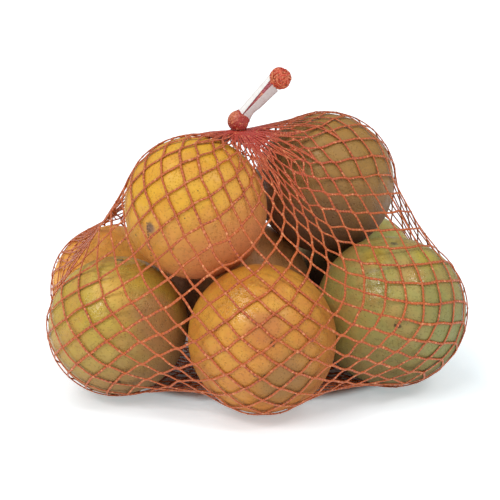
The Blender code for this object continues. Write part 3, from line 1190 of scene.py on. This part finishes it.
class Tail:
    """The ball's middle and radius, and the axes of the tail that leans out of it."""

    def __init__(self):
        ball_low, ball_high = (np.array(corner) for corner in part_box("neck_ball"))
        tuft_low, tuft_high = (np.array(corner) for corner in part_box("tail_tuft"))
        self.middle = (ball_low + ball_high) / 2
        self.radius = float((ball_high - ball_low).max() / 2)
        axis = unit((tuft_low + tuft_high) / 2 - self.middle)
        self.axis = unit(axis * np.array([1.0, 0.0, 1.0]))
        self.front = np.array([0.0, -1.0, 0.0])
        self.left = unit(np.cross(self.axis, -self.front))

    def placed(self, local):
        """Points in the tail's axes (left, front, along) as points in space."""
        local = np.asarray(local)
        left, front, along = local[..., :1], local[..., 1:2], local[..., 2:]
        return self.middle + left * self.left + front * self.front + along * self.axis


def seated(local):
    """Points of the ball, in the tail's axes, pressed flat under the sleeve."""
    flat = 3.9 * MM
    height = local[..., 2:]
    pressed = np.where(height > flat, flat + 0.15 * (height - flat), height)
    return np.concatenate([local[..., :2], pressed], -1)


def ball_core(tail):
    """The ball itself, a little uneven."""
    directions, faces = round_mesh(36)
    lumps = 0.010 * waves(directions, 5, 12, 3, 7) + 0.007 * waves(directions, 6, 30, 14, 22)
    core = directions * tail.radius * (0.955 + lumps)[:, None]
    return tail.placed(seated(core)), faces, waves(directions, 8, 10, 4, 9) * MM


def ball_strands(tail, random):
    """Strands that run up the ball from its foot, with a slight twist."""
    count, steps, sides = 30, 22, 8
    share = np.linspace(0.02, 0.93, steps)[None]
    start = (np.arange(count)[:, None] + random.uniform(-0.3, 0.3, (count, 1))) / count
    twist = 0.12 + random.normal(0, 0.04, (count, 1))
    turn = 2 * math.pi * (start + twist * share + 0.012 * np.sin(share * 14 + start * 60))
    polar = math.pi * (1 - share) + 0 * turn
    lift = tail.radius * (0.935 + random.uniform(-0.02, 0.02, (count, 1)))
    lift = lift * (1 + 0.012 * np.sin(share * 19 + start * 90))
    out = lift * np.sin(polar)
    local = np.stack([out * np.cos(turn), out * np.sin(turn), lift * np.cos(polar)], -1)
    paths = tail.placed(seated(local))
    widths = 1.0 * MM * (0.35 + 0.65 * np.sin(polar)) * random.normal(1, 0.12, (count, 1))
    heights = np.full(widths.shape, 0.62 * MM)
    corners, faces = sweep(paths, unit(paths - tail.middle), widths, heights, sides)
    return corners, faces, at_corners(share * 18 * MM + start * 31 * MM, paths, sides)


def ball_lips(tail):
    """Three strands that lie in rings round the sleeve, where it leaves the ball."""
    sides = 8
    turn = np.linspace(0, 2 * math.pi, 49)[None]
    lips = np.array([[3.9, 2.7, 4.15], [3.6, 2.3, 4.5], [4.1, 3.1, 3.8]])[..., None] * MM
    wave = 0.2 * MM * np.sin(turn * 3 + np.arange(3)[:, None] * 1.9)
    rim = np.stack([lips[:, 0] * np.cos(turn), lips[:, 1] * np.sin(turn), lips[:, 2] + wave], -1)
    paths = tail.placed(rim)
    outward = unit(tail.placed(unit(rim * [1, 1, 0.4])) - tail.middle)
    widths = np.full(rim.shape[:2], 0.85 * MM)
    corners, faces = sweep(paths, outward, widths, widths, sides)
    return corners, faces, at_corners(turn * 4 * MM, paths, sides)


def sleeve_outline(share):
    """The sleeve's outline at a share of its length, its left edge and its seam's two sides."""
    edge = -4.0 - 1.4 * share
    left, right = -1.05 - 2.2 * share, -0.55 - 0.3 * share
    far = 3.3 + 0.6 * share + 0.6 * hill(share, 0, 0.08)
    far -= 0.5 * hill(share, 0.22, 0.12)
    deep = 1.0 - 0.4 * share
    outline = [
        (edge, 0.2), (edge + 0.5, 0.9), ((edge + left) / 2, 1.7), (left - 0.2, 2.15),
        (left, 2.0), (left + 0.1, deep), ((left + right) / 2, deep - 0.2), (right - 0.1, deep),
        (right, 1.95), (right + 0.4, 2.05), (far * 0.7, 1.05), (far, 0.0),
        (far - 0.1, -0.5), (far * 0.5, -1.6), (-1.2, -1.8), (edge + 0.4, -0.7),
    ]
    return np.array(outline), edge, left, right


def sleeve_band(tail):
    """A white band wrapped round the tail, with a narrow seam along its front."""
    rings, fine = 30, 4
    loft, tints = [], []
    for ring in range(rings):
        share = ring / (rings - 1)
        outline, edge, left, right = sleeve_outline(share)
        base = np.arange(len(outline) * fine) / fine
        low = np.floor(base).astype(int)
        after = (low + 1) % len(outline)
        smooth = blend(outline[low], outline[after], (base - low)[:, None])
        smooth = (np.roll(smooth, 1, 0) + 2 * smooth + np.roll(smooth, -1, 0)) / 4
        ripple = 0.05 * math.sin(share * 23) + 0.04 * math.sin(share * 51 + 1)
        lean = 0.7 * (1 - share) ** 2
        across, front = smooth[:, 0], smooth[:, 1] + ripple + lean
        cut = hill(across, -2.0, 1.5) * 0.9 - 0.16 * np.maximum(across, 0)
        height = SLEEVE_START - cut * (1 - share) + share * (SLEEVE_LENGTH - 0.3 * across)
        loft.append(np.stack([-across, front, height], 1) * MM)
        # Stored tint: the net showing through the film in the seam and over the right facet, where its
        # grey also paints the facet's shade; the lighter tint along the left edge is painted shade only.
        rim = 1 - smoothstep(across, edge + 0.1, edge + 0.9)
        tints.append(np.maximum(smoothstep(across, left + 0.2, right + 0.3), rim * 0.35))
    points = len(outline) * fine
    ends = np.arange(points)[::-1], np.arange(points) + (rings - 1) * points
    faces = ring_faces(rings, points) + [end.tolist() for end in ends]
    return tail.placed(np.array(loft)).reshape(-1, 3), faces, {"tint": np.array(tints)}


def sleeve_core(tail, random):
    """The strands that run through the sleeve and show in its seam."""
    count, steps = 11, 28
    share = np.linspace(0, 1, steps)[None]
    start = random.uniform(0, 1, (count, 1))
    wander = np.sin(share * 9 + start * 20) * 0.12 * MM
    flare = 1.5 * share**10
    spread = 0.25 + 2.1 * share**1.3 + flare
    left = (1.0 + 2.0 * share + flare - spread * start) * MM + wander
    front = (1.75 + 0.15 * np.cos(share * 12 + start * 20) - 0.4 * share) * MM
    along = (4.3 + share * 24.2) * MM + 0 * start
    paths = tail.placed(np.stack([left, front, along], -1))
    widths = np.full((count, steps), 0.6 * MM)
    corners, faces = sweep(paths, np.broadcast_to(tail.front, paths.shape), widths, widths * 0.8)
    values = {
        "along": at_corners(share * 21 * MM + start * 5 * MM, paths),
        "shade": np.full(len(corners), 0.3),
        "glow": at_corners(share**1.6, paths),
    }
    return corners, faces, values


def tuft_core(tail, middle):
    """The tuft's body under its strand ends."""
    directions, faces = round_mesh(26)
    radius = 5.45 * MM * (1 + 0.02 * waves(directions, 3, 16, 3, 8))
    dark = np.zeros(len(directions))
    values = {"along": directions @ tail.axis * 5 * MM, "shade": dark, "glow": dark}
    return middle + directions * radius[:, None] * 0.92, faces, values


def tuft_ends(tail, middle, random, count):
    """Short strands that lie over the tuft in all ways, mostly away from the sleeve."""
    steps = 12
    start = unit(random.normal(size=(count, 3)))
    heading = unit(np.cross(start, random.normal(size=(count, 3))))
    heading = unit(heading + 0.9 * tail.axis)
    share = np.linspace(-0.5, 0.5, steps)[None, :, None]
    arc = random.uniform(0.7, 1.5, (count, 1, 1))
    curl = random.normal(0, 0.35, (count, 1, 1))
    side = np.cross(start, heading)[:, None]
    way = start[:, None] + heading[:, None] * share * arc + side * curl * (share**2 * 4 - 0.5)
    lift = 5.3 * MM + random.uniform(-0.3, 0.35, (count, 1, 1)) * MM
    lift = lift * (1 - 0.12 * np.abs(share * 2) ** 4)
    paths = middle + unit(way) * lift
    widths = 0.95 * MM * random.uniform(0.7, 1.2, (count, 1)) * np.ones((1, steps))
    corners, faces = sweep(paths, unit(paths - middle), widths, widths * 0.62)
    along = share[..., 0] * 8 * MM + random.uniform(0, 9 * MM, (count, 1))
    values = {
        "along": at_corners(along, paths),
        "shade": at_corners(random.uniform(0, 1.8, (count, 1)), paths),
        "glow": at_corners(random.uniform(0, 1, (count, 1)) ** 1.8, paths),
    }
    return corners, faces, values


# ---------------------------------------------------------------- steps


class BAG_OT_oranges(bpy.types.Operator):
    """Add the eight oranges"""

    bl_idname = "orange_bag.oranges"
    bl_label = "Add oranges"

    def execute(self, context):
        for orange in context.scene.orange_bag.oranges:
            make_orange(orange)
        return {"FINISHED"}


class BAG_OT_net(bpy.types.Operator):
    """Knit the net and draw it tight round the oranges"""

    bl_idname = "orange_bag.net"
    bl_label = "Add net"

    def execute(self, context):
        bag = context.scene.orange_bag
        net, root = bag.net, bag.neck.root
        lattice = Lattice(net, bag.oranges)
        points = lattice.drawn_tight()
        frames = lattice_frames(lattice, points)
        normal = frames[0]
        random = np.random.default_rng(11)
        strands = net_finish("net_strands", net, net.strand, root)
        half = lattice.rows // 2
        shapes = {}
        for side, way in (("right", lattice.right), ("left", lattice.left)):
            rows = lattice.strands(way)
            for part, first, last in (("upper", 0, half), ("lower", half, lattice.rows)):
                pairs = rows[first:last].reshape(-1, 2)
                shapes[f"net_strands_{side}_{part}"] = strands, strand_mesh(
                    lattice, points, frames, pairs, net, random, first
                )
        knots = net_finish("net_joints", net, net.strand, root)
        shapes["net_joints"] = knots, joint_mesh(lattice, points, frames, random)
        shapes["net_folds"] = strands, fold_mesh(lattice, points, normal, net, random)
        collar = net_finish("net_collar", net, root)
        shapes["net_collar"] = collar, collar_mesh(lattice, points, normal, random)
        for name, (material, shape) in shapes.items():
            add_piece(name, "net_bag", shape, [material])
        return {"FINISHED"}


class BAG_OT_ball(bpy.types.Operator):
    """Gather the net into a ball above the oranges"""

    bl_idname = "orange_bag.ball"
    bl_label = "Add neck ball"

    def execute(self, context):
        bag = context.scene.orange_bag
        tail = Tail()
        lips = ball_lips(tail)
        parts = [ball_core(tail), ball_strands(tail, np.random.default_rng(21)), lips]
        corners, faces, values = joined(
            [(some, more, {"along": along}) for some, more, along in parts]
        )
        # Painted light: the ball is paler on the side up and to the left, towards the lamps; the lips are
        # left out.
        painted_light_way = unit(np.array([-0.75, -0.25, 0.6]))
        glow = smoothstep(unit(corners - tail.middle) @ painted_light_way, 0.25, 0.95) * 0.5
        glow[-len(lips[0]):] = 0.0
        values.update(shade=np.full(len(corners), 0.5), glow=glow)
        material = net_finish(
            "neck_gathers", bag.net, bag.neck.gathered, bag.neck.lit, 1.6 * MM
        )
        shape = corners, faces, values
        add_piece("neck_ball_gathers", "neck_ball", shape, [material])
        return {"FINISHED"}


class BAG_OT_sleeve(bpy.types.Operator):
    """Wrap the white sleeve round the tail"""

    bl_idname = "orange_bag.sleeve"
    bl_label = "Add sleeve"

    def execute(self, context):
        bag = context.scene.orange_bag
        tail = Tail()
        film = sleeve_finish(bag.neck)
        add_piece("neck_sleeve_band", "neck_sleeve", sleeve_band(tail), [film])
        core = sleeve_core(tail, np.random.default_rng(31))
        strands = net_finish("sleeve_core", bag.net, bag.neck.core, bag.neck.core_end)
        add_piece("neck_sleeve_core", "neck_sleeve", core, [strands])
        return {"FINISHED"}


class BAG_OT_tuft(bpy.types.Operator):
    """Bunch the strand ends into a tuft beyond the sleeve"""

    bl_idname = "orange_bag.tuft"
    bl_label = "Add tuft"

    def execute(self, context):
        bag = context.scene.orange_bag
        tail = Tail()
        low, high = (np.array(corner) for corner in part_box("tail_tuft"))
        middle = (low + high) / 2 + 0.45 * MM * tail.axis
        ends = tuft_ends(tail, middle, np.random.default_rng(41), bag.neck.ends)
        shape = joined([tuft_core(tail, middle), ends])
        material = net_finish("tuft_ends", bag.net, bag.neck.tuft, bag.neck.lit)
        add_piece("tail_tuft_ends", "tail_tuft", shape, [material])
        return {"FINISHED"}


class BAG_OT_stage(bpy.types.Operator):
    """Set the floor, the lights and the camera"""

    bl_idname = "orange_bag.stage"
    bl_label = "Add stage"

    def execute(self, context):
        scene = context.scene
        stage = scene.orange_bag.stage
        scene.view_settings.view_transform = "Standard"
        scene.view_settings.look = "None"

        sheet = bmesh.new()
        bmesh.ops.create_grid(sheet, x_segments=2, y_segments=2, size=FLOOR_REACH)
        mesh = bpy.data.meshes.new("floor")
        sheet.to_mesh(mesh)
        sheet.free()
        mesh.materials.append(floor_finish(stage))
        floor = bpy.data.objects.new("floor", mesh)
        floor.location.z = -0.1 * MM
        scene.collection.objects.link(floor)

        world = bpy.data.worlds.new("daylight")
        world.use_nodes = True
        background = world.node_tree.nodes["Background"]
        background.inputs["Color"].default_value = (1.0, 1.0, 1.0, 1.0)
        background.inputs["Strength"].default_value = stage.daylight
        scene.world = world

        for name, energy, spread, toward in (
            ("key_light", stage.key, stage.softness, (-0.37, -0.56, 0.74)),
            ("top_light", stage.top, stage.softness, (-0.38, 0.08, 0.92)),
            ("side_light", stage.side, stage.softness, (0.44, -0.33, 0.83)),
            ("left_window", stage.glint, math.radians(7), (-0.55, -0.40, 0.73)),
            ("right_window", stage.glint * 0.8, math.radians(9), (0.46, -0.36, 0.81)),
        ):
            lamp = bpy.data.lights.new(name, "SUN")
            lamp.energy = energy
            lamp.angle = spread
            light = bpy.data.objects.new(name, lamp)
            tilt = math.acos(toward[2] / math.hypot(*toward))
            light.rotation_euler = (tilt, 0.0, math.atan2(toward[0], -toward[1]))
            scene.collection.objects.link(light)

        lens = bpy.data.cameras.new("camera")
        lens.lens = stage.lens
        lens.sensor_width = SENSOR_WIDTH
        lens.clip_start = 0.01
        camera = bpy.data.objects.new("camera", lens)
        camera.location = stage.camera
        camera.rotation_euler = (math.pi / 2 - stage.pitch, 0.0, 0.0)
        scene.collection.objects.link(camera)
        scene.camera = camera
        return {"FINISHED"}


STEPS = (
    BAG_OT_stage, BAG_OT_oranges, BAG_OT_net, BAG_OT_ball, BAG_OT_sleeve, BAG_OT_tuft,
)


class BAG_PT_panel(bpy.types.Panel):
    """The steps that build the net of oranges"""

    bl_idname = "BAG_PT_panel"
    bl_label = "Net of oranges"
    bl_space_type = "VIEW_3D"
    bl_region_type = "UI"
    bl_category = "Net of oranges"

    def draw(self, context):
        for step in STEPS:
            self.layout.operator(step.bl_idname)


CLASSES = (
    MarkSettings, TintSettings, OrangeSettings, NetSettings, NeckSettings, StageSettings,
    BagSettings, *STEPS, BAG_PT_panel,
)


def fill_oranges(bag):
    """The settings of the eight oranges, from the table at the top."""
    bag.oranges.clear()
    for name, row in ORANGES.items():
        orange = bag.oranges.add()
        orange.name = name
        orange.middle = [value * MM for value in row["middle"]]
        orange.radius = row["radius"] * MM
        for part in ("peel", "blush", "shade"):
            setattr(orange, part, colour(*row[part]))
        orange.light = unit(np.array(row["light"]))
        orange.stem = unit(np.array(row["stem"]))
        orange.rings = row.get("rings", 0.0) * MM
        orange.seed = row["seed"]
        for group in ("marks", "shines", "tints"):
            for x, y, z, size, *rest in row.get(group, ()):
                spot = getattr(orange, group).add()
                spot.direction = unit(np.array([x, y, z]))
                spot.size = size * MM
                if group == "tints":
                    spot.tone = colour(*rest[0])
                elif rest:
                    spot.depth = rest[0]


def register():
    for each in CLASSES:
        bpy.utils.register_class(each)
    bpy.types.Scene.orange_bag = PointerProperty(type=BagSettings)


def unregister():
    del bpy.types.Scene.orange_bag
    for each in reversed(CLASSES):
        bpy.utils.unregister_class(each)


def main():
    register()
    for thing in list(bpy.data.objects):
        if thing.type in ("CAMERA", "LIGHT") or thing.name == "Cube":
            bpy.data.objects.remove(thing, do_unlink=True)
    fill_oranges(bpy.context.scene.orange_bag)
    bpy.ops.orange_bag.stage()
    bpy.ops.orange_bag.oranges()
    bpy.ops.orange_bag.net()
    bpy.ops.orange_bag.ball()
    bpy.ops.orange_bag.sleeve()
    bpy.ops.orange_bag.tuft()


if __name__ == "__main__":
    main()
